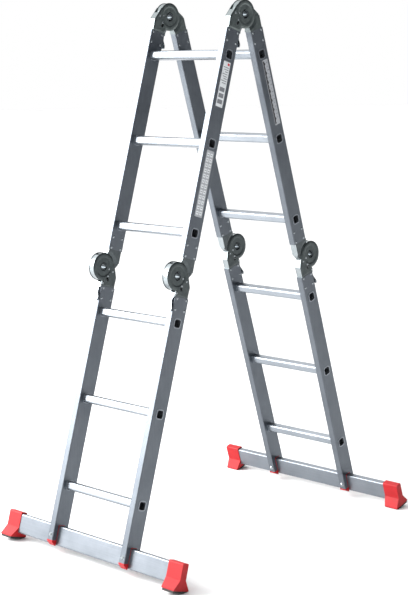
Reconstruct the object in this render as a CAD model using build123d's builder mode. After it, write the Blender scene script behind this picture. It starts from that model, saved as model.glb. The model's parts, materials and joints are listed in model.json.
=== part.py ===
from build123d import *
from math import cos, radians, sin
import os

# Multi position ladder standing as an A-frame. Millimetres, +Z up, X along the rungs,
# the front leg leans towards -Y and the rear leg towards +Y, floor at Z = 0.
# On a leg, s runs down the leg from the top hinge axis and d runs outward from the stile centreline.

# Leg layout
LEG_ANGLE = 17.0  # each leg from the vertical
LADDER_WIDTH = 352.0  # over the stiles
RUNG_PITCH = 280.0
RUNGS_PER_SECTION = 3
HINGE_OFFSET = 37.0  # hinge axis from the stile centreline
S_TOP = 0.0
S_MIDDLE = RUNG_PITCH * RUNGS_PER_SECTION
S_LAST_RUNG = 2 * S_MIDDLE - RUNG_PITCH / 2

# Stiles and rungs
STILE_THICK = 24.0
STILE_DEPTH = 59.0
STILE_WALL = 1.7
STILE_CORNER = 2.6
STILE_END = 60.0  # stile end from the hinge axis
RUNG_SIZE = 28.0
RUNG_CORNER = 8.0
RUNG_WALL = 1.5
RUNG_BEAD = 31.6
RUNG_BEAD_THICK = 0.9

# Stabilizer bar, bolt and stile end plugs
BAR_LENGTH = 782.0
BAR_HEIGHT = 63.0
BAR_THICK = 21.0
BAR_CORNER = 5.0
BAR_WALL = 2.1
BAR_DROP = 161.0  # bar centre below the last rung
LINING = 1.5  # plug lining between the bar and the notch
LINING_GAP = 0.2
NOTCH_WIDTH = BAR_THICK + 2 * (LINING + LINING_GAP)
NOTCH_TOP = BAR_DROP - BAR_HEIGHT / 2 - LINING - LINING_GAP
STILE_TAIL = 177.0  # stile end below the last rung
PLUG_TOE = 5.0  # plug below the stile end at its outer face
PLUG_HEEL = 17.5  # plug below the stile end beside the bar
PLUG_WALL_GAP = 0.1
BOLT_RADIUS = 4.0
BOLT_HEAD_RADIUS = 7.5
BOLT_HEAD_HEIGHT = 3.6

# Feet
FOOT_LENGTH = 58.0
FOOT_END = 394.0  # outer end of a foot from the middle of the bar
FOOT_WALL = 2.0
FOOT_TOP_ROUND = 5.0
FOOT_TOP_DROP = 125.0
FOOT_NECK_DROP = 175.0
FOOT_FLARE_DROP = 203.5
FOOT_BASE_DROP = 206.5
FOOT_FLARE_HALF = 32.0
FOOT_TOE = 8.0  # the flare narrows by this on the inboard side
SOLE_DROP = 213.5
SOLE_HALF = 30.5
SOLE_INSET = 2.0
SOLE_BEVEL = 17.5

# Hinge halves. In a hinge sketch x points from the axis to the stile centreline and y away from the arm.
CHEEK_RADIUS = 44.5
CHEEK_INNER = 9.3
CHEEK_THICK = 3.5
CHEEK_OUTER = CHEEK_INNER + CHEEK_THICK
KNUCKLE_RADIUS = 43.0
KNUCKLE_HALF = 9.0
NECK_SEAT = CHEEK_RADIUS + 1.5
NECK_SLOPE = 10.0
NECK_TOP = 20.0
KNUCKLE_WEB_HALF = 2.5
POCKET_OUTER = 36.0
POCKET_INNER = 16.0
ARM_NEAR = 5.0
ARM_FAR = 62.0
NECK_START = 53.0
NECK_NEAR = 16.0
TENON_END = 114.0
TENON_WALL = 2.6
TENON_GAP = 0.1
WEB_THICK = 2.2
WEB_SETBACK = 1.5  # web centre line from the edge of the cheeks
SHOULDER_WIDTH = 5.5  # rolled edge all round a cheek
SHOULDER_DROP = 1.6
DISH_RADIUS = 29.0
DISH_SLOPE = 4.5
DISH_DEPTH = 1.2
PIVOT_RADIUS = 11.5
PIVOT_BORE = 9.6
PIVOT_HEAD_RADIUS = 14.5
PIVOT_LIP_RADIUS = 12.6
PIVOT_HEAD_HEIGHT = 1.6
RIVET_ROWS = (66.0, 99.5)
RIVET_SPREAD = 20.0
RIVET_RADIUS = 2.5
RIVET_HEAD_RADIUS = 4.2
RIVET_HEAD_HEIGHT = 1.5
CHEEK_STUDS = ((25.4, -3.6), (43.0, -9.5), (25.3, -26.6))
STUD_HEAD_RADIUS = 3.2
STUD_HEAD_HEIGHT = 1.0

# Lock bar and its release lever
LOCK_ANGLE = 35.0  # lock bar slot from the arm direction
LOCK_INNER = 43.5
LOCK_LENGTH = 7.0
LOCK_TRAVEL = 5.0
LOCK_WIDTH = 8.4
LOCK_HALF = 11.0
LOCK_CORNER = 3.0
LEVER_AXIS = (8.5, -51.0)
LEVER_PIN_RADIUS = 2.5
LEVER_HUB_RADIUS = 5.0
LEVER_NECK = 61.0  # stations of the grip from the hinge axis
LEVER_SHOULDER = 79.0
LEVER_PAD = 96.0
LEVER_TIP = 106.0
LEVER_NECK_HALF = 4.5
LEVER_PAD_HALF = 12.5
LEVER_ROUND = 3.0
OPEN_TURN = 180.0 - 2 * LEG_ANGLE  # from the A-frame to a straight ladder

FOLD = radians(LEG_ANGLE)
SOLE_FACET_S = S_LAST_RUNG + SOLE_DROP
TOP_AXIS_Z = SOLE_FACET_S * cos(FOLD) - (SOLE_BEVEL - SOLE_HALF + HINGE_OFFSET) * sin(FOLD)
STILE_X = (LADDER_WIDTH - STILE_THICK) / 2
X_AXIS = Vector(1, 0, 0)
LEGS = ("front", "rear")
SIDES = (("left", -1), ("right", 1))

os.makedirs("parts", exist_ok=True)


def leg_directions(leg):
    """Outward and down-the-leg directions of one leg."""
    sign = -1 if leg == "front" else 1
    return Vector(0, sign * cos(FOLD), sin(FOLD)), Vector(0, sign * sin(FOLD), -cos(FOLD))


def leg_point(leg, x, s, d):
    outward, down = leg_directions(leg)
    return Vector(x, 0, TOP_AXIS_Z) + down * s + outward * (d + HINGE_OFFSET)


def side_plane(leg, x, s=0.0):
    """Plane across X: sketch x is outward, sketch y is up the leg."""
    outward, down = leg_directions(leg)
    return Plane(origin=leg_point(leg, x, s, 0), x_dir=outward, z_dir=outward.cross(down * -1))


def front_plane(leg):
    """Plane facing outward: sketch x is along X, sketch y is up the leg."""
    _, down = leg_directions(leg)
    return Plane(origin=leg_point(leg, 0, 0, 0), x_dir=X_AXIS, z_dir=X_AXIS.cross(down * -1))


def cross_plane(leg, s, x=0.0, d=0.0):
    """Plane across the leg: sketch x is along X, sketch y is outward."""
    outward, _ = leg_directions(leg)
    return Plane(origin=leg_point(leg, x, s, d), x_dir=X_AXIS, z_dir=X_AXIS.cross(outward))


def hinge_frame(leg, joint):
    """Axis position along s and d, and the direction from the axis to the stile centreline."""
    outward, _ = leg_directions(leg)
    if joint == "top":
        return S_TOP, -HINGE_OFFSET, outward
    return S_MIDDLE, HINGE_OFFSET, outward * -1


def hinge_plane(leg, x, joint, arm_down):
    s, d, to_stile = hinge_frame(leg, joint)
    _, down = leg_directions(leg)
    away = down * -1 if arm_down else down
    return Plane(origin=leg_point(leg, x, s, d), x_dir=to_stile, z_dir=to_stile.cross(away))


def lock_plane(leg, x, joint, turn=0.0):
    """Plane on the hinge axis with sketch x along the lock bar's travel, turned about the axis."""
    s, d, to_stile = hinge_frame(leg, joint)
    _, down = leg_directions(leg)
    angle = radians(LOCK_ANGLE)
    travel = to_stile * sin(angle) + down * cos(angle)
    return Plane(origin=leg_point(leg, x, s, d), x_dir=travel.rotate(Axis.X, turn), z_dir=X_AXIS)


def section_rungs(level):
    first = RUNG_PITCH / 2 + (0 if level == "upper" else S_MIDDLE)
    return [first + RUNG_PITCH * k for k in range(RUNGS_PER_SECTION)]


def riveted_rows(level):
    """Rivet rows of one section as positions along s."""
    if level == "upper":
        return [S_TOP + r for r in RIVET_ROWS] + [S_MIDDLE - r for r in RIVET_ROWS]
    return [S_MIDDLE + r for r in RIVET_ROWS]


def save(build, name):
    build.part.label = name
    export_step(build.part, f"parts/{name}.step")


# ---------------------------------------------------------------- aluminium sections


def make_stile(leg, level, side_name, side):
    """Box extrusion with rung holes, rivet holes and, on a lower stile, the notch for the bar."""
    x = side * STILE_X
    start = S_TOP + STILE_END if level == "upper" else S_MIDDLE + STILE_END
    end = S_MIDDLE - STILE_END if level == "upper" else S_LAST_RUNG + STILE_TAIL
    with BuildPart() as stile:
        with BuildSketch(cross_plane(leg, (start + end) / 2, x)):
            RectangleRounded(STILE_THICK, STILE_DEPTH, STILE_CORNER)
            RectangleRounded(
                STILE_THICK - 2 * STILE_WALL, STILE_DEPTH - 2 * STILE_WALL,
                STILE_CORNER - STILE_WALL, mode=Mode.SUBTRACT,
            )
        extrude(amount=(end - start) / 2, both=True)
        with BuildSketch(side_plane(leg, x)):
            with Locations([(0, -s) for s in section_rungs(level)]):
                RectangleRounded(RUNG_SIZE, RUNG_SIZE, RUNG_CORNER)
            for s in riveted_rows(level):
                with Locations((-RIVET_SPREAD, -s), (RIVET_SPREAD, -s)):
                    Circle(RIVET_RADIUS)
            if level == "lower":
                with Locations((0, -(S_LAST_RUNG + NOTCH_TOP))):
                    Rectangle(NOTCH_WIDTH, 2 * BAR_HEIGHT, align=(Align.CENTER, Align.MAX))
        extrude(amount=STILE_THICK, both=True, mode=Mode.SUBTRACT)
        if level == "lower":
            bolt_plane = Plane(
                origin=leg_point(leg, x, S_LAST_RUNG + BAR_DROP, 0), z_dir=leg_directions(leg)[0]
            )
            with BuildSketch(bolt_plane):
                Circle(BOLT_RADIUS)
            extrude(amount=STILE_DEPTH, both=True, mode=Mode.SUBTRACT)
    save(stile, f"{leg}_{level}_{side_name}_stile")


def make_rungs(leg, level):
    """Three rounded-square tubes with a bead on each side of both stiles."""
    bead_faces = (LADDER_WIDTH / 2, LADDER_WIDTH / 2 - STILE_THICK - RUNG_BEAD_THICK)
    with BuildPart() as rungs:
        for s in section_rungs(level):
            with BuildSketch(side_plane(leg, 0, s)):
                RectangleRounded(RUNG_SIZE, RUNG_SIZE, RUNG_CORNER)
            extrude(amount=LADDER_WIDTH / 2 + RUNG_BEAD_THICK, both=True)
            for side in (-1, 1):
                for face in bead_faces:
                    with BuildSketch(side_plane(leg, side * (face + RUNG_BEAD_THICK / 2), s)):
                        RectangleRounded(RUNG_BEAD, RUNG_BEAD, RUNG_CORNER + 1.8)
                    extrude(amount=RUNG_BEAD_THICK / 2, both=True)
            with BuildSketch(side_plane(leg, 0, s)):
                bore = RUNG_SIZE - 2 * RUNG_WALL
                RectangleRounded(bore, bore, RUNG_CORNER - RUNG_WALL)
            extrude(amount=LADDER_WIDTH, both=True, mode=Mode.SUBTRACT)
    save(rungs, f"{leg}_{level}_rungs")


def make_rivets(leg, level):
    """Solid rivets that hold the hinge tenons in the stiles."""
    face = STILE_THICK / 2
    profile = [
        (-face - RIVET_HEAD_HEIGHT, 0), (-face - RIVET_HEAD_HEIGHT, RIVET_RADIUS),
        (-face, RIVET_HEAD_RADIUS), (-face, RIVET_RADIUS), (face, RIVET_RADIUS),
        (face, RIVET_HEAD_RADIUS), (face + RIVET_HEAD_HEIGHT, RIVET_RADIUS),
        (face + RIVET_HEAD_HEIGHT, 0),
    ]
    with BuildPart() as rivets:
        for _, side in SIDES:
            for s in riveted_rows(level):
                for d in (-RIVET_SPREAD, RIVET_SPREAD):
                    plane = cross_plane(leg, s, side * STILE_X, d)
                    with BuildSketch(plane):
                        with BuildLine():
                            Polyline(*profile, close=True)
                        make_face()
                    revolve(axis=Axis(plane.origin, X_AXIS))
    save(rivets, f"{leg}_{level}_rivets")


# ---------------------------------------------------------------- stabilizer bar and feet


def make_bar(leg):
    """Flat tube with rounded corners, drilled for the two stile bolts."""
    centre_s = S_LAST_RUNG + BAR_DROP
    with BuildPart() as bar:
        with BuildSketch(side_plane(leg, 0, centre_s)):
            RectangleRounded(BAR_THICK, BAR_HEIGHT, BAR_CORNER)
            RectangleRounded(
                BAR_THICK - 2 * BAR_WALL, BAR_HEIGHT - 2 * BAR_WALL, BAR_CORNER - BAR_WALL, mode=Mode.SUBTRACT
            )
        extrude(amount=BAR_LENGTH / 2, both=True)
        for _, side in SIDES:
            centre = leg_point(leg, side * STILE_X, centre_s, 0)
            with BuildSketch(Plane(origin=centre, z_dir=leg_directions(leg)[0])):
                Circle(BOLT_RADIUS)
            extrude(amount=BAR_THICK, both=True, mode=Mode.SUBTRACT)
    save(bar, f"{leg}_stabilizer_bar")


def make_foot(leg, side_name, side):
    """Red end cap over the bar end, flared on both sides at the bottom."""
    half = BAR_THICK / 2 + FOOT_WALL
    outline = [
        (-half, -FOOT_TOP_DROP), (half, -FOOT_TOP_DROP), (half, -FOOT_NECK_DROP),
        (FOOT_FLARE_HALF, -FOOT_FLARE_DROP),
        (FOOT_FLARE_HALF, -FOOT_BASE_DROP), (-FOOT_FLARE_HALF, -FOOT_BASE_DROP),
        (-FOOT_FLARE_HALF, -FOOT_FLARE_DROP), (-half, -FOOT_NECK_DROP),
    ]
    inboard = side * (FOOT_END - FOOT_LENGTH)
    toe = [
        (inboard, -S_LAST_RUNG - FOOT_NECK_DROP), (inboard + side * FOOT_TOE, -S_LAST_RUNG - FOOT_BASE_DROP),
        (inboard, -S_LAST_RUNG - FOOT_BASE_DROP),
    ]
    with BuildPart() as foot:
        with BuildSketch(side_plane(leg, side * (FOOT_END - FOOT_LENGTH / 2), S_LAST_RUNG)) as shape:
            with BuildLine():
                Polyline(*outline, close=True)
            make_face()
            fillet(shape.vertices().group_by(Axis.Y)[-1], FOOT_TOP_ROUND)
        extrude(amount=FOOT_LENGTH / 2, both=True)
        with BuildSketch(front_plane(leg)):
            with BuildLine():
                Polyline(*toe, close=True)
            make_face()
        extrude(amount=FOOT_LENGTH, both=True, mode=Mode.SUBTRACT)
        with BuildSketch(side_plane(leg, side * (BAR_LENGTH / 2 - FOOT_LENGTH / 2), S_LAST_RUNG + BAR_DROP)):
            RectangleRounded(BAR_THICK, BAR_HEIGHT, BAR_CORNER)
        extrude(amount=FOOT_LENGTH / 2, both=True, mode=Mode.SUBTRACT)
    save(foot, f"{leg}_{side_name}_foot")


def make_sole(leg, side_name, side):
    """Black rubber pad; the bevel along its inner edge lies flat on the floor when the leg leans."""
    rise = SOLE_BEVEL * sin(FOLD) / cos(FOLD)
    outline = [
        (-SOLE_HALF, -FOOT_BASE_DROP), (SOLE_HALF, -FOOT_BASE_DROP), (SOLE_HALF, -SOLE_DROP),
        (SOLE_BEVEL - SOLE_HALF, -SOLE_DROP), (-SOLE_HALF, -SOLE_DROP + rise),
    ]
    with BuildPart() as sole:
        with BuildSketch(side_plane(leg, side * (FOOT_END - (FOOT_LENGTH - FOOT_TOE) / 2), S_LAST_RUNG)):
            with BuildLine():
                Polyline(*outline, close=True)
            make_face()
        extrude(amount=(FOOT_LENGTH - FOOT_TOE) / 2 - SOLE_INSET, both=True)
    save(sole, f"{leg}_{side_name}_sole")


def make_plugs(leg):
    """Red plugs: a lining round the notch, an insert in each tongue and a wedge under it."""
    half_bar = BAR_THICK / 2 + LINING_GAP
    half_notch = NOTCH_WIDTH / 2
    half_stile = STILE_DEPTH / 2
    notch_top = S_LAST_RUNG + NOTCH_TOP
    tail = S_LAST_RUNG + STILE_TAIL
    insert_depth = half_stile - half_notch - STILE_WALL - PLUG_WALL_GAP
    wedge = [
        (half_bar, -notch_top - LINING), (half_bar, -tail - PLUG_HEEL), (half_bar + 3, -tail - PLUG_HEEL),
        (half_stile, -tail - PLUG_TOE), (half_stile, -tail), (half_notch, -tail), (half_notch, -notch_top),
        (0, -notch_top), (0, -notch_top - LINING),
    ]
    with BuildPart() as plugs:
        for _, side in SIDES:
            x = side * STILE_X
            with BuildSketch(side_plane(leg, x)) as wedges:
                with BuildLine():
                    Polyline(*wedge, close=True)
                make_face()
                fillet(wedges.vertices().group_by(Axis.Y)[0].sort_by(Axis.X)[-1], 6.0)
                mirror(about=Plane.YZ)
            extrude(amount=STILE_THICK / 2, both=True)
            for facing in (-1, 1):
                d = facing * (half_notch + insert_depth / 2)
                with BuildSketch(cross_plane(leg, (notch_top + tail) / 2, x, d)):
                    RectangleRounded(STILE_THICK - 2 * (STILE_WALL + PLUG_WALL_GAP), insert_depth, 1.2)
                extrude(amount=(tail - notch_top) / 2, both=True)
            centre = leg_point(leg, x, S_LAST_RUNG + BAR_DROP, 0)
            with BuildSketch(Plane(origin=centre, z_dir=leg_directions(leg)[0])):
                Circle(BOLT_RADIUS)
            extrude(amount=STILE_DEPTH, both=True, mode=Mode.SUBTRACT)
    save(plugs, f"{leg}_stile_plugs")


def make_bolts(leg):
    """Domed bolts through stile, plugs and bar, one at each stile."""
    face = STILE_DEPTH / 2
    profile = [
        (-face - BOLT_HEAD_HEIGHT, 0), (-face - BOLT_HEAD_HEIGHT, BOLT_RADIUS),
        (-face, BOLT_HEAD_RADIUS), (-face, BOLT_RADIUS), (face, BOLT_RADIUS),
        (face, BOLT_HEAD_RADIUS), (face + BOLT_HEAD_HEIGHT, BOLT_RADIUS),
        (face + BOLT_HEAD_HEIGHT, 0),
    ]
    outward, _ = leg_directions(leg)
    with BuildPart() as bolts:
        for _, side in SIDES:
            centre = leg_point(leg, side * STILE_X, S_LAST_RUNG + BAR_DROP, 0)
            with BuildSketch(Plane(origin=centre, x_dir=outward, z_dir=outward.cross(X_AXIS))):
                with BuildLine():
                    Polyline(*profile, close=True)
                make_face()
            revolve(axis=Axis(centre, outward))
    save(bolts, f"{leg}_bar_bolts")


# ---------------------------------------------------------------- hinges


def tenon_box(leg, x, joint, arm_down):
    """Open steel box that slides into the stile and takes the rivets."""
    s_axis = hinge_frame(leg, joint)[0]
    way = 1 if arm_down else -1
    thick = STILE_THICK - 2 * (STILE_WALL + TENON_GAP)
    depth = STILE_DEPTH - 2 * (STILE_WALL + TENON_GAP)
    with BuildPart() as tenon:
        with BuildSketch(cross_plane(leg, s_axis + way * (STILE_END + TENON_END) / 2, x)):
            RectangleRounded(thick, depth, 1.2)
            Rectangle(thick - 2 * TENON_WALL, depth - 2 * TENON_WALL, mode=Mode.SUBTRACT)
        extrude(amount=(TENON_END - STILE_END) / 2, both=True)
        with BuildSketch(side_plane(leg, x)):
            for row in RIVET_ROWS:
                with Locations((-RIVET_SPREAD, -s_axis - way * row), (RIVET_SPREAD, -s_axis - way * row)):
                    Circle(RIVET_RADIUS)
        extrude(amount=STILE_THICK, both=True, mode=Mode.SUBTRACT)
    return tenon.part


def turned_about(plane, profile):
    """Solid turned about the hinge axis from (along X, radius) points."""
    with BuildPart() as turned:
        with BuildSketch(Plane(origin=plane.origin, x_dir=X_AXIS, z_dir=X_AXIS.cross(plane.x_dir))):
            with BuildLine():
                Polyline(*profile, close=True)
            make_face()
        revolve(axis=Axis(plane.origin, X_AXIS))
    return turned.part


def make_cheeks(leg, joint, side_name, side):
    """Outer hinge half: two dished round cheeks with the lock bar slot, a web and the tenon."""
    x = side * STILE_X
    hinge = hinge_plane(leg, x, joint, True)
    arm = [
        (ARM_NEAR, -STILE_END), (ARM_FAR, -STILE_END), (ARM_FAR + 1, -25), (43, 18),
        (0, 0), (ARM_NEAR, -CHEEK_RADIUS),
    ]
    web = [(ARM_FAR - WEB_SETBACK, -STILE_END), (ARM_FAR + 1 - WEB_SETBACK, -25), (49.9, -0.5)]
    crest = DISH_RADIUS + DISH_SLOPE
    tenon = tenon_box(leg, x, joint, True)
    with BuildPart() as cheeks:
        for face in (-1, 1):
            cheek_middle = x + face * (CHEEK_INNER + CHEEK_THICK / 2)
            with BuildSketch(hinge_plane(leg, cheek_middle, joint, True)):
                with BuildLine():
                    Polyline(*arm, close=True)
                make_face()
                Circle(CHEEK_RADIUS)
            extrude(amount=CHEEK_THICK / 2, both=True)
        for end in (0, -1):
            outer_face = cheeks.faces().sort_by(Axis.X)[end]
            chamfer(outer_face.edges(), SHOULDER_WIDTH, SHOULDER_DROP, reference=outer_face)
        for face in (-1, 1):
            floor = CHEEK_OUTER - DISH_DEPTH
            dish = [(floor, PIVOT_RADIUS), (floor, DISH_RADIUS), (CHEEK_OUTER, crest), (CHEEK_OUTER, PIVOT_RADIUS)]
            add(turned_about(hinge, [(face * a, r) for a, r in dish]), mode=Mode.SUBTRACT)
        with BuildSketch(hinge):
            Circle(PIVOT_RADIUS)
            with Locations(LEVER_AXIS):
                Circle(LEVER_PIN_RADIUS)
            with Locations(*CHEEK_STUDS):
                Circle(RIVET_RADIUS)
        extrude(amount=STILE_THICK, both=True, mode=Mode.SUBTRACT)
        with BuildSketch(lock_plane(leg, x, joint)):
            slot_start = LOCK_INNER - LOCK_TRAVEL - 0.2
            slot_length = LOCK_LENGTH + LOCK_TRAVEL + 0.4
            with Locations((slot_start + slot_length / 2, 0)):
                RectangleRounded(slot_length, LOCK_WIDTH + 0.2, LOCK_CORNER)
        extrude(amount=STILE_THICK, both=True, mode=Mode.SUBTRACT)
        with BuildSketch(hinge):
            with Locations(((ARM_FAR + NECK_NEAR) / 2, -(STILE_END + NECK_START) / 2)):
                Rectangle(ARM_FAR - NECK_NEAR, STILE_END - NECK_START)
            with BuildLine():
                Polyline(*web)
            trace(line_width=WEB_THICK)
        extrude(amount=CHEEK_INNER, both=True)
        add(tenon)
    save(cheeks, f"{joint_name(leg, joint)}_{side_name}_cheeks")


def make_knuckle(leg, joint, side_name, side):
    """Inner hinge half: notched disc between the cheeks, with the arm to the other section."""
    x = side * STILE_X
    arm_down = joint == "top"
    axis_leg = "front" if joint == "top" else leg
    outline = [
        (ARM_NEAR + 2, -STILE_END), (ARM_FAR, -STILE_END), (ARM_FAR, -17), (42, 9.2),
        (0, 0), (ARM_NEAR + 2, -40),
    ]
    arm_cavity = [(12, -52), (30, -46), (50, -26), (58, -26), (58, -STILE_END), (12, -STILE_END)]
    pocket_depth = KNUCKLE_HALF - KNUCKLE_WEB_HALF
    turns = (0, 2 * LEG_ANGLE, -OPEN_TURN) if joint == "top" else (0, 180)
    hinge = hinge_plane(leg, x, joint, arm_down)
    tenon = tenon_box(leg, x, joint, arm_down)
    with BuildPart() as knuckle:
        with BuildSketch(hinge):
            with BuildLine():
                Polyline(*outline, close=True)
            make_face()
            Circle(KNUCKLE_RADIUS)
        extrude(amount=KNUCKLE_HALF, both=True)
        with BuildSketch(hinge):
            with Locations(((ARM_NEAR + 2 + ARM_FAR) / 2, -(STILE_END + NECK_TOP) / 2)):
                Rectangle(ARM_FAR - ARM_NEAR - 2, STILE_END - NECK_TOP)
            Circle(NECK_SEAT, mode=Mode.SUBTRACT)
        extrude(amount=STILE_THICK / 2, both=True)
        for face in (-1, 1):
            slope = [
                (KNUCKLE_HALF, KNUCKLE_RADIUS), (KNUCKLE_HALF, NECK_SEAT), (STILE_THICK / 2, NECK_SEAT + NECK_SLOPE),
                (STILE_THICK / 2, KNUCKLE_RADIUS),
            ]
            add(turned_about(hinge, [(face * a, r) for a, r in slope]), mode=Mode.SUBTRACT)
        for face in (-1, 1):
            pocket_middle = x + face * (KNUCKLE_HALF + KNUCKLE_WEB_HALF) / 2
            with BuildSketch(hinge_plane(leg, pocket_middle, joint, arm_down)):
                Circle(POCKET_OUTER)
                Circle(POCKET_INNER, mode=Mode.SUBTRACT)
            extrude(amount=pocket_depth / 2, both=True, mode=Mode.SUBTRACT)
        with BuildSketch(hinge):
            Circle(PIVOT_RADIUS + 0.05)
        extrude(amount=STILE_THICK, both=True, mode=Mode.SUBTRACT)
        for turn in turns:
            with BuildSketch(lock_plane(axis_leg, x, joint, turn)):
                with Locations((LOCK_INNER - LOCK_TRAVEL - 0.4, 0)):
                    Rectangle(LOCK_LENGTH + 2, LOCK_WIDTH + 0.8, align=(Align.MIN, Align.CENTER))
            extrude(amount=STILE_THICK, both=True, mode=Mode.SUBTRACT)
        with BuildSketch(hinge):
            with BuildLine():
                Polyline(*arm_cavity, close=True)
            make_face()
        extrude(amount=KNUCKLE_HALF - 0.5, both=True, mode=Mode.SUBTRACT)
        add(tenon)
    save(knuckle, f"{joint_name(leg, joint)}_{side_name}_knuckle")


def make_pivots(leg, joint):
    """Hollow rivets on the hinge axis, flared over the floor of the cheeks' dishes."""
    s, d, _ = hinge_frame(leg, joint)
    seat = CHEEK_OUTER - DISH_DEPTH
    lip = seat + PIVOT_HEAD_HEIGHT
    half = [
        (seat - 1, PIVOT_BORE), (lip, PIVOT_LIP_RADIUS), (lip, PIVOT_LIP_RADIUS + 0.8),
        (seat, PIVOT_HEAD_RADIUS), (seat, PIVOT_RADIUS),
    ]
    profile = half + [(-a, r) for a, r in reversed(half)]
    with BuildPart() as pivots:
        for _, side in SIDES:
            plane = cross_plane(leg, s, side * STILE_X, d)
            with BuildSketch(plane):
                with BuildLine():
                    Polyline(*profile, close=True)
                make_face()
            revolve(axis=Axis(plane.origin, X_AXIS))
    save(pivots, f"{joint_name(leg, joint)}_pivots")


def make_lock_bar(leg, joint, side_name, side):
    """Steel bar across both cheeks that drops into a notch of the knuckle."""
    with BuildPart() as lock_bar:
        with BuildSketch(lock_plane(leg, side * STILE_X, joint)):
            with Locations((LOCK_INNER + LOCK_LENGTH / 2, 0)):
                RectangleRounded(LOCK_LENGTH, LOCK_WIDTH, LOCK_CORNER)
        extrude(amount=LOCK_HALF, both=True)
    save(lock_bar, f"{joint_name(leg, joint)}_{side_name}_lock_bar")


def make_lever(leg, joint, side_name, side):
    """Release lever: hub on its pin between the cheeks, narrow neck and wide finger pad."""
    hinge = hinge_plane(leg, side * STILE_X, joint, True)
    front = Plane(origin=hinge.origin, x_dir=X_AXIS, z_dir=X_AXIS.cross(hinge.y_dir))
    stem = [(7.5, -46.2), (3.6, -51), (2.2, -64), (5.2, -64), (6.6, -58), (11, -55.4)]
    grip = [(5.6, -61.5), (0.5, -LEVER_TIP), (-3.5, -LEVER_TIP), (2.3, -61.5)]
    half_pad = [
        (0, -LEVER_NECK), (LEVER_NECK_HALF, -LEVER_NECK), (LEVER_NECK_HALF, -LEVER_SHOULDER),
        (LEVER_PAD_HALF, -LEVER_PAD), (LEVER_PAD_HALF, -LEVER_TIP), (0, -LEVER_TIP),
    ]
    with BuildPart() as lever:
        with BuildSketch(hinge):
            with BuildLine():
                Polyline(*grip, close=True)
            make_face()
        extrude(amount=LEVER_PAD_HALF, both=True)
        with BuildSketch(front) as pad:
            with BuildLine():
                Polyline(*half_pad, close=True)
            make_face()
            mirror(about=Plane.YZ)
            fillet(pad.vertices().filter_by(lambda v: abs(v.X) > LEVER_NECK_HALF + 1), LEVER_ROUND)
        extrude(amount=STILE_DEPTH, both=True, mode=Mode.INTERSECT)
        with BuildSketch(hinge):
            with BuildLine():
                Polyline(*stem, close=True)
            make_face()
            with Locations(LEVER_AXIS):
                Circle(LEVER_HUB_RADIUS)
        extrude(amount=KNUCKLE_HALF - 0.2, both=True)
        with BuildSketch(hinge):
            with Locations(LEVER_AXIS):
                Circle(LEVER_PIN_RADIUS + 0.05)
        extrude(amount=STILE_THICK, both=True, mode=Mode.SUBTRACT)
    save(lever, f"{joint_name(leg, joint)}_{side_name}_lever")


def make_pins(leg, joint):
    """Lever pins through both cheeks, and short studs riveted into each cheek."""
    face = CHEEK_OUTER
    pin = [
        (-face - 1, 0), (-face - 1, LEVER_PIN_RADIUS), (-face, LEVER_PIN_RADIUS + 1.2),
        (-face, LEVER_PIN_RADIUS), (face, LEVER_PIN_RADIUS), (face, LEVER_PIN_RADIUS + 1.2),
        (face + 1, LEVER_PIN_RADIUS), (face + 1, 0),
    ]
    with BuildPart() as pins:
        for _, side in SIDES:
            hinge = hinge_plane(leg, side * STILE_X, joint, True)
            add(turned_about(hinge.shift_origin(hinge.from_local_coords(LEVER_AXIS)), pin))
            for place in CHEEK_STUDS:
                in_dish = Vector(*place).length < DISH_RADIUS
                seat = face - DISH_DEPTH if in_dish else face
                stud = [
                    (CHEEK_INNER, 0), (CHEEK_INNER, RIVET_RADIUS), (seat, RIVET_RADIUS),
                    (seat, STUD_HEAD_RADIUS), (seat + STUD_HEAD_HEIGHT, RIVET_RADIUS),
                    (seat + STUD_HEAD_HEIGHT, 0),
                ]
                stud_plane = hinge.shift_origin(hinge.from_local_coords(place))
                for facing in (-1, 1):
                    add(turned_about(stud_plane, [(facing * a, r) for a, r in stud]))
    save(pins, f"{joint_name(leg, joint)}_pins")


def joint_name(leg, joint):
    return "top_hinge" if joint == "top" else f"{leg}_hinge"


# ---------------------------------------------------------------- the whole ladder

for leg in LEGS:
    for level in ("upper", "lower"):
        for side_name, side in SIDES:
            make_stile(leg, level, side_name, side)
        make_rungs(leg, level)
        make_rivets(leg, level)
    make_bar(leg)
    make_plugs(leg)
    make_bolts(leg)
    for side_name, side in SIDES:
        make_foot(leg, side_name, side)
        make_sole(leg, side_name, side)

for leg, joint in (("front", "top"), ("front", "middle"), ("rear", "middle")):
    knuckle_leg = "rear" if joint == "top" else leg
    for side_name, side in SIDES:
        make_cheeks(leg, joint, side_name, side)
        make_knuckle(knuckle_leg, joint, side_name, side)
        make_lock_bar(leg, joint, side_name, side)
        make_lever(leg, joint, side_name, side)
    make_pivots(leg, joint)
    make_pins(leg, joint)
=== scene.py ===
import bpy
import bmesh
import json
import math
from mathutils import Matrix, Vector


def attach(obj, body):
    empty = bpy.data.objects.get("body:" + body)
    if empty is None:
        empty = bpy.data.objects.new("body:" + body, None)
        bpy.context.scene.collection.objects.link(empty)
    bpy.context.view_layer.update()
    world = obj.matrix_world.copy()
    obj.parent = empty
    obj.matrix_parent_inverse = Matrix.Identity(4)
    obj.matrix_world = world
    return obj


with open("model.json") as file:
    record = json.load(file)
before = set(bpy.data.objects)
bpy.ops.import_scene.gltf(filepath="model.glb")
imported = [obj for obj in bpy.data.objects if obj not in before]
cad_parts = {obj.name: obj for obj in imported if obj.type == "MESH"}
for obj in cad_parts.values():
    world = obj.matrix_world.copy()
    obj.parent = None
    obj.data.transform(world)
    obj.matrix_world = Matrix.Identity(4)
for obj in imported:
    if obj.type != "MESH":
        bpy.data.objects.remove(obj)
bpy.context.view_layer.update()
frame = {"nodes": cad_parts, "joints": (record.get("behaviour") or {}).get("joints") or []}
nodes = frame["nodes"]

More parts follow.
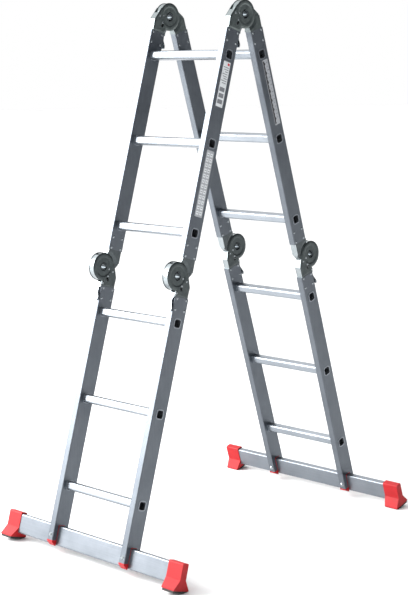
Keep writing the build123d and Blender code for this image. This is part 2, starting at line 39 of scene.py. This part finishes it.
# Leg geometry, in metres. s runs down a leg from the top hinge axis,
# d outward from the stile centreline.
LEG_ANGLE = math.radians(17.0)
HINGE_OFFSET = 0.037
STILE_FACE_X = 0.176
TOP_AXIS = Vector([j["pos_m"] for j in frame["joints"] if j["name"] == "top_hinge_turn"][0])


def leg_directions(leg):
    sign = -1 if leg == "front" else 1
    outward = Vector((0, sign * math.cos(LEG_ANGLE), math.sin(LEG_ANGLE)))
    down = Vector((0, sign * math.sin(LEG_ANGLE), -math.cos(LEG_ANGLE)))
    return outward, down


def leg_point(leg, x, s, d):
    outward, down = leg_directions(leg)
    return TOP_AXIS + Vector((x, 0, 0)) + down * s + outward * (d + HINGE_OFFSET)


# ---------------------------------------------------------------- materials


class Nodes:
    """Small helper around one material's node tree."""

    def __init__(self, name):
        self.material = bpy.data.materials.new(name)
        self.material.use_nodes = True
        self.tree = self.material.node_tree
        self.shader = self.tree.nodes["Principled BSDF"]

    def new(self, kind, **values):
        node = self.tree.nodes.new(kind)
        for key, value in values.items():
            setattr(node, key, value)
        return node

    def link(self, out, into):
        self.tree.links.new(out, into)

    def coordinates(self, scale, turn=(0, 0, 0)):
        texture = self.new("ShaderNodeTexCoord")
        mapping = self.new("ShaderNodeMapping")
        mapping.inputs["Rotation"].default_value = turn
        mapping.inputs["Scale"].default_value = scale
        self.link(texture.outputs["Object"], mapping.inputs["Vector"])
        return mapping.outputs["Vector"]

    def noise(self, vector, scale, detail=4.0, roughness=0.6):
        node = self.new("ShaderNodeTexNoise")
        node.inputs["Scale"].default_value = scale
        node.inputs["Detail"].default_value = detail
        node.inputs["Roughness"].default_value = roughness
        self.link(vector, node.inputs["Vector"])
        return node.outputs["Fac"]

    def ramp(self, value, stops):
        node = self.new("ShaderNodeValToRGB")
        while len(node.color_ramp.elements) < len(stops):
            node.color_ramp.elements.new(0.5)
        for element, (place, colour) in zip(node.color_ramp.elements, stops):
            element.position = place
            element.color = colour if len(colour) == 4 else (*colour, 1)
        self.link(value, node.inputs["Fac"])
        return node.outputs["Color"]

    def span(self, value, low, high):
        node = self.new("ShaderNodeMapRange")
        node.inputs["To Min"].default_value = low
        node.inputs["To Max"].default_value = high
        self.link(value, node.inputs["Value"])
        return node.outputs["Result"]

    def mix(self, factor, first, second, blend="MIX"):
        node = self.new("ShaderNodeMix", data_type="RGBA", blend_type=blend)
        pairs = ((node.inputs[0], factor), (node.inputs[6], first), (node.inputs[7], second))
        for socket, value in pairs:
            if isinstance(value, bpy.types.NodeSocket):
                self.link(value, socket)
            else:
                socket.default_value = value if isinstance(value, float) else (*value, 1)
        return node.outputs[2]

    def faces_along_x(self, low, high):
        """Rises from 0 to 1 as a face turns towards the object's own X axis."""
        texture = self.new("ShaderNodeTexCoord")
        split = self.new("ShaderNodeSeparateXYZ")
        size = self.new("ShaderNodeMath", operation="ABSOLUTE")
        span = self.new("ShaderNodeMapRange")
        span.inputs["From Min"].default_value = low
        span.inputs["From Max"].default_value = high
        self.link(texture.outputs["Normal"], split.inputs["Vector"])
        self.link(split.outputs["X"], size.inputs[0])
        self.link(size.outputs["Value"], span.inputs["Value"])
        return span.outputs["Result"]

    def bump(self, height, strength, distance):
        node = self.new("ShaderNodeBump")
        node.inputs["Strength"].default_value = strength
        node.inputs["Distance"].default_value = distance
        self.link(height, node.inputs["Height"])
        self.link(node.outputs["Normal"], self.shader.inputs["Normal"])

    def set(self, **values):
        for key, value in values.items():
            self.shader.inputs[key.replace("_", " ")].default_value = value


def extruded_aluminium(name, dark, light, turn, along, roughness=(0.34, 0.46)):
    """Satin extrusion: fine lines along the profile, cloudy handling marks and a few scratches."""
    m = Nodes(name)
    stretched = [900.0, 900.0, 900.0]
    stretched[along] = 3.0
    lines = m.noise(m.coordinates(stretched, turn), 1.0, 2.0, 0.5)
    clouds = m.noise(m.coordinates((1, 1, 1)), 9.0, 5.0)
    marks = m.noise(m.coordinates((160, 160, 40), (0.5, 0.3, 0.2)), 1.0, 3.0)
    tone = m.ramp(clouds, ((0.3, dark), (0.7, light)))
    line_tone = m.ramp(lines, ((0.35, (0.86, 0.87, 0.88)), (0.65, (1, 1, 1))))
    tone = m.mix(0.7, tone, line_tone, "MULTIPLY")
    mark_tone = m.ramp(marks, ((0.62, (1, 1, 1)), (0.75, (0.88, 0.88, 0.89))))
    tone = m.mix(0.5, tone, mark_tone, "MULTIPLY")
    m.link(tone, m.shader.inputs["Base Color"])
    m.link(m.span(clouds, *roughness), m.shader.inputs["Roughness"])
    m.bump(lines, 0.25, 0.0002)
    m.set(Metallic=0.9)
    return m.material


def zinc_steel(name, dark, light, roughness=(0.3, 0.5), metallic=0.85, rim_highlight=None):
    """Plated steel: mottled passivation and uneven gloss; the rim tone is a painted highlight laid on the
    rims, the faces turned towards the part's own X axis.
    """
    m = Nodes(name)
    place = m.coordinates((1, 1, 1))
    mottle = m.noise(place, 70.0, 6.0, 0.65)
    broad = m.noise(place, 18.0, 3.0)
    grain = m.noise(place, 900.0, 2.0)
    tone = m.ramp(mottle, ((0.3, dark), (0.72, light)))
    if rim_highlight:
        # Painted highlight: faces turned towards the X axis (cheek and disc rims) take the brighter rim tone.
        tone = m.mix(m.faces_along_x(0.55, 0.9), rim_highlight, tone)
    shade = m.ramp(broad, ((0.3, (0.8, 0.82, 0.82)), (0.7, (1, 1, 1))))
    m.link(m.mix(0.8, tone, shade, "MULTIPLY"), m.shader.inputs["Base Color"])
    m.link(m.span(mottle, *roughness), m.shader.inputs["Roughness"])
    m.bump(grain, 0.18, 0.0003)
    m.set(Metallic=metallic)
    return m.material


def moulded_red(name, dark, light):
    """Injection-moulded plastic with fine spark texture and scuffs."""
    m = Nodes(name)
    place = m.coordinates((1, 1, 1))
    cloud = m.noise(place, 25.0, 4.0)
    spark = m.noise(place, 1400.0, 2.0)
    scuff = m.noise(m.coordinates((60, 300, 60), (0.4, 0.2, 0.6)), 1.0, 4.0)
    tone = m.ramp(cloud, ((0.3, dark), (0.7, light)))
    scuffed = m.ramp(scuff, ((0.66, (1, 1, 1)), (0.8, (0.82, 0.78, 0.78))))
    m.link(m.mix(0.6, tone, scuffed, "MULTIPLY"), m.shader.inputs["Base Color"])
    m.link(m.span(cloud, 0.42, 0.55), m.shader.inputs["Roughness"])
    m.bump(spark, 0.12, 0.0003)
    m.set(Metallic=0.0, Specular_IOR_Level=0.3)
    return m.material


def ribbed_rubber(name):
    """Black rubber with fine ribs and dust in the hollows."""
    m = Nodes(name)
    wave = m.new("ShaderNodeTexWave", wave_type="BANDS", bands_direction="X")
    wave.inputs["Scale"].default_value = 60.0
    m.link(m.coordinates((1, 1, 1)), wave.inputs["Vector"])
    dust = m.noise(m.coordinates((1, 1, 1)), 45.0, 6.0, 0.7)
    tone = m.ramp(dust, ((0.35, (0.008, 0.008, 0.009)), (0.8, (0.05, 0.048, 0.045))))
    m.link(tone, m.shader.inputs["Base Color"])
    m.link(m.span(dust, 0.6, 0.85), m.shader.inputs["Roughness"])
    m.bump(wave.outputs["Fac"], 0.3, 0.0006)
    m.set(Metallic=0.0)
    return m.material


FRONT_TURN = (-LEG_ANGLE, 0, 0)
REAR_TURN = (LEG_ANGLE, 0, 0)
STILE_TONES = ((0.125, 0.140, 0.160), (0.165, 0.183, 0.205))
RUNG_TONES = ((0.25, 0.275, 0.305), (0.31, 0.338, 0.37))
BAR_TONES = ((0.19, 0.21, 0.236), (0.24, 0.262, 0.29))
aluminium = {
    "front": extruded_aluminium("stile_aluminium_front", *STILE_TONES, FRONT_TURN, 2),
    "rear": extruded_aluminium("stile_aluminium_rear", *STILE_TONES, REAR_TURN, 2),
}
rung_metal = extruded_aluminium("rung_aluminium", *RUNG_TONES, (0, 0, 0), 0, (0.28, 0.4))
bar_metal = extruded_aluminium("bar_aluminium", *BAR_TONES, (0, 0, 0), 0, (0.3, 0.42))
HINGE_TONES = ((0.065, 0.077, 0.080), (0.11, 0.127, 0.128))
# Painted light: the top hinge takes a brighter copy of the hinge tones, as if lit more from above; it is the
# same steel as the mid hinges.
TOP_HINGE_PAINTED_LIGHT_TONES = ((0.12, 0.142, 0.142), (0.18, 0.205, 0.20))
KNUCKLE_TONES = ((0.075, 0.087, 0.092), (0.125, 0.142, 0.148))
BRIGHT_TONES = ((0.26, 0.285, 0.305), (0.40, 0.43, 0.45))
# Dark zinc for the pivot eyelets, darkened further as painted shade so their bores read as shaded.
EYELET_PAINTED_SHADE_TONES = ((0.030, 0.036, 0.040), (0.065, 0.074, 0.08))
LOCK_TONES = ((0.012, 0.013, 0.015), (0.03, 0.032, 0.035))
RED_TONES = ((0.36, 0.004, 0.007), (0.45, 0.006, 0.010))
# Painted highlights for the hinge and knuckle rims, not a finish of the steel.
RIM_PAINTED_HIGHLIGHT = (0.30, 0.33, 0.345)
TOP_RIM_PAINTED_HIGHLIGHT = (0.2, 0.225, 0.23)
hinge_steel = zinc_steel("hinge_steel", *HINGE_TONES, rim_highlight=RIM_PAINTED_HIGHLIGHT)
top_hinge_steel_painted_light = zinc_steel("top_hinge_steel_painted_light", *TOP_HINGE_PAINTED_LIGHT_TONES, rim_highlight=TOP_RIM_PAINTED_HIGHLIGHT)
knuckle_steel = zinc_steel("knuckle_steel", *KNUCKLE_TONES, (0.25, 0.42), rim_highlight=RIM_PAINTED_HIGHLIGHT)
bright_steel = zinc_steel("bright_steel", *BRIGHT_TONES, (0.2, 0.34), 0.95)
eyelet_steel_painted_shade = zinc_steel("eyelet_steel_painted_shade", *EYELET_PAINTED_SHADE_TONES, (0.2, 0.32), 0.95)
lock_steel = zinc_steel("lock_steel", *LOCK_TONES, (0.4, 0.6), 0.6)
red_plastic = moulded_red("red_plastic", *RED_TONES)
rubber = ribbed_rubber("black_rubber")

for name, node in nodes.items():
    leg = "rear" if name.startswith("rear") else "front"
    if name.endswith("_stile"):
        material = aluminium[leg]
    elif name.endswith("_rungs"):
        material = rung_metal
    elif name.endswith("_stabilizer_bar"):
        material = bar_metal
    # The top hinge cheeks and knuckle get the copy of the hinge steel with painted light.
    elif name.startswith("top_hinge") and name.endswith(("_cheeks", "_knuckle")):
        material = top_hinge_steel_painted_light
    elif name.endswith("_cheeks"):
        material = hinge_steel
    elif name.endswith("_knuckle"):
        material = knuckle_steel
    # Pivots take the dark eyelet steel, which carries painted shade for the bores.
    elif name.endswith("_pivots"):
        material = eyelet_steel_painted_shade
    elif name.endswith("_lock_bar"):
        material = lock_steel
    elif name.endswith(("_foot", "_plugs")):
        material = red_plastic
    elif name.endswith("_sole"):
        material = rubber
    else:
        material = bright_steel
    node.data.materials.clear()
    node.data.materials.append(material)


def soften(node, width, segments=2):
    """Rounded edges on a CAD node, as a modifier."""
    bevel = node.modifiers.new("soft_edges", "BEVEL")
    bevel.width = width
    bevel.segments = segments
    bevel.limit_method = "ANGLE"
    bevel.angle_limit = math.radians(35)


for name, node in nodes.items():
    if name.endswith("_foot"):
        soften(node, 0.0016, 3)
    elif name.endswith("_sole"):
        soften(node, 0.001)


# ---------------------------------------------------------------- labels


def film_material(name, tone, roughness, streak=0.5):
    """Printed film: faint mottling, fine scratches and a worn gloss."""
    m = Nodes(name)
    place = m.coordinates((1, 1, 1))
    mottle = m.noise(place, 140.0, 5.0)
    scratch = m.noise(m.coordinates((600, 600, 60), (0.35, 0.1, 0.0)), 1.0, 3.0)
    shade = m.ramp(mottle, ((0.3, tuple(v * 0.88 for v in tone)), (0.7, tone)))
    worn = m.ramp(scratch, ((0.55, (1, 1, 1)), (0.8, (0.75, 0.76, 0.78))))
    m.link(m.mix(streak, shade, worn, "MULTIPLY"), m.shader.inputs["Base Color"])
    m.link(m.span(mottle, *roughness), m.shader.inputs["Roughness"])
    m.bump(mottle, 0.1, 0.0001)
    m.set(Metallic=0.0, Coat_Weight=0.35, Coat_Roughness=0.15)
    return m.material


FILM_THICK = 0.00012
LABEL_LIFT = 0.00005
PRINT_LIFT = LABEL_LIFT + FILM_THICK


def film_piece(name, leg, outlines, lift, material, body):
    """Thin film on the outer wide face of a stile; outlines are (s, d) pairs in millimetres."""
    mesh = bmesh.new()
    for outline in outlines:
        points = [leg_point(leg, STILE_FACE_X + lift, s / 1000, d / 1000) for s, d in outline]
        low = [mesh.verts.new(point) for point in points]
        high = [mesh.verts.new(v.co + Vector((FILM_THICK, 0, 0))) for v in low]
        mesh.faces.new(low[::-1])
        mesh.faces.new(high)
        for i, vertex in enumerate(low):
            j = (i + 1) % len(low)
            mesh.faces.new((vertex, low[j], high[j], high[i]))
    bmesh.ops.recalc_face_normals(mesh, faces=mesh.faces)
    data = bpy.data.meshes.new(name)
    mesh.to_mesh(data)
    mesh.free()
    piece = bpy.data.objects.new(name, data)
    bpy.context.scene.collection.objects.link(piece)
    data.materials.append(material)
    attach(piece, body)


def block(s, d, height, width):
    return [(s, d), (s + height, d), (s + height, d + width), (s, d + width)]


def rounded_outline(s0, s1, d0, d1, radius=2.5, steps=4):
    points = []
    corners = ((s0 + radius, d0 + radius, 180), (s1 - radius, d0 + radius, 270),
               (s1 - radius, d1 - radius, 0), (s0 + radius, d1 - radius, 90))
    for s, d, start in corners:
        for k in range(steps + 1):
            angle = math.radians(start + 90 * k / steps)
            points.append((s + radius * math.cos(angle), d + radius * math.sin(angle)))
    return points


white_film = film_material("white_film", (0.80, 0.83, 0.85), (0.3, 0.45))
silver_film = film_material("silver_film", (0.44, 0.46, 0.49), (0.25, 0.4))
grey_print = film_material("grey_print", (0.21, 0.22, 0.24), (0.4, 0.55))
black_print = film_material("black_print", (0.022, 0.022, 0.026), (0.35, 0.5))
red_print = film_material("red_print", (0.62, 0.03, 0.04), (0.35, 0.5))

# Front leg, upper label: white strip with a red corner and blank bars.
upper_label = [rounded_outline(163, 305, -14, 17)]
film_piece("label_upper_front", "front", upper_label, LABEL_LIFT, white_film, "front_upper")
film_piece("label_upper_red", "front", [block(167, -11, 7, 9)], PRINT_LIFT, red_print, "front_upper")
upper_bars = [block(180 + 7 * k, -10, 2.2, 24 - 5 * (k % 3)) for k in range(8)]
upper_bars += [block(244 + 19 * k, -9, 13, 22) for k in range(3)]
film_piece("label_upper_bars", "front", upper_bars, PRINT_LIFT, grey_print, "front_upper")

# Front leg, second label: silver film with two columns of blank panels.
middle_label = [rounded_outline(442, 649, -17, 15.7)]
film_piece("label_middle_front", "front", middle_label, LABEL_LIFT, silver_film, "front_upper")
middle_panels = [block(450 + 16.5 * k, d, 11, 11) for k in range(12) for d in (-13.5, 1.0)]
film_piece("label_middle_panels", "front", middle_panels, PRINT_LIFT, white_film, "front_upper")
middle_bars = [block(454.5 + 16.5 * k, d, 2, 7) for k in range(12) for d in (-11.5, 3.0)]
film_piece("label_middle_bars", "front", middle_bars, PRINT_LIFT + FILM_THICK, grey_print, "front_upper")

# Rear leg label: silver strip with a black saw-tooth band along its inner edge.
rear_label = [rounded_outline(160, 374, -5, 20)]
film_piece("label_rear", "rear", rear_label, LABEL_LIFT, silver_film, "rear_upper")
teeth = [(163, -3.5), (371, -3.5)]
for k in range(13, -1, -1):
    teeth += [(164 + 15 * k + 10, 6.5 - 3 * (k % 2)), (164 + 15 * k, 1.5)]
film_piece("label_rear_band", "rear", [teeth], PRINT_LIFT, black_print, "rear_upper")
rear_bars = [block(170 + 12 * k, 10, 2.2, 8 - 3 * (k % 2)) for k in range(16)]
film_piece("label_rear_bars", "rear", rear_bars, PRINT_LIFT, grey_print, "rear_upper")

# ---------------------------------------------------------------- studio


def stage_floor():
    mesh = bmesh.new()
    bmesh.ops.create_circle(mesh, cap_ends=True, radius=40.0, segments=96)
    data = bpy.data.meshes.new("studio_floor")
    mesh.to_mesh(data)
    mesh.free()
    floor = bpy.data.objects.new("studio_floor", data)
    floor.location.z = -0.0005
    bpy.context.scene.collection.objects.link(floor)
    m = Nodes("studio_floor")
    tone = m.noise(m.coordinates((1, 1, 1)), 2.0, 2.0)
    m.link(m.ramp(tone, ((0.3, (0.90, 0.90, 0.90)), (0.7, (0.92, 0.92, 0.92)))), m.shader.inputs["Base Color"])
    m.set(Roughness=0.9)
    data.materials.append(m.material)


def area_light(name, location, target, size, power):
    data = bpy.data.lights.new(name, "AREA")
    data.shape = "RECTANGLE"
    data.size, data.size_y = size
    data.energy = power
    lamp = bpy.data.objects.new(name, data)
    lamp.location = location
    lamp.rotation_euler = (Vector(target) - Vector(location)).to_track_quat("-Z", "Y").to_euler()
    bpy.context.scene.collection.objects.link(lamp)


DARK_SIDE = (0.7071, 0.7071, 0.0)


def studio_world():
    """White surround, with a darker side beyond the right of the ladder."""
    world = bpy.data.worlds.new("studio")
    bpy.context.scene.world = world
    world.use_nodes = True
    tree = world.node_tree
    background = tree.nodes["Background"]
    place = tree.nodes.new("ShaderNodeTexCoord")
    side = tree.nodes.new("ShaderNodeVectorMath")
    side.operation = "DOT_PRODUCT"
    side.inputs[1].default_value = DARK_SIDE
    ramp = tree.nodes.new("ShaderNodeValToRGB")
    tree.links.new(place.outputs["Generated"], side.inputs[0])
    tree.links.new(side.outputs["Value"], ramp.inputs["Fac"])
    ramp.color_ramp.elements[0].position = 0.22
    ramp.color_ramp.elements[0].color = (1.0, 1.0, 1.0, 1)
    ramp.color_ramp.elements[1].position = 0.5
    ramp.color_ramp.elements[1].color = (0.08, 0.09, 0.105, 1)
    tree.links.new(ramp.outputs["Color"], background.inputs["Color"])
    background.inputs["Strength"].default_value = 1.0


def broad_sun(strength, direction):
    data = bpy.data.lights.new("overhead", "SUN")
    data.energy = strength
    data.angle = math.radians(80)
    lamp = bpy.data.objects.new("overhead", data)
    lamp.rotation_euler = (-Vector(direction)).to_track_quat("-Z", "Y").to_euler()
    bpy.context.scene.collection.objects.link(lamp)


CAMERA_LENS = 127.636
CAMERA_PLACE = (3.2041, -3.3986, 1.5394)
CAMERA_RIGHT = (0.72733306, 0.68616186, -0.01298182)
CAMERA_UP = (-0.10306822, 0.12791499, 0.98641507)


def photo_camera():
    data = bpy.data.cameras.new("photo_camera")
    data.sensor_fit = "HORIZONTAL"
    data.sensor_width = 36.0
    data.lens = CAMERA_LENS
    camera = bpy.data.objects.new("photo_camera", data)
    right = Vector(CAMERA_RIGHT)
    up = Vector(CAMERA_UP)
    back = right.cross(up)
    turn = Matrix((right, up, back)).transposed().to_4x4()
    camera.matrix_world = Matrix.Translation(CAMERA_PLACE) @ turn
    bpy.context.scene.collection.objects.link(camera)
    bpy.context.scene.camera = camera


stage_floor()
studio_world()
broad_sun(1.7, (-0.6, -0.2, 1.0))
area_light("key_left", (-3.6, -3.5, 2.75), (0, -0.2, 0.9), (3.4, 3.0), 560)
photo_camera()
bpy.context.scene.view_settings.view_transform = "Standard"
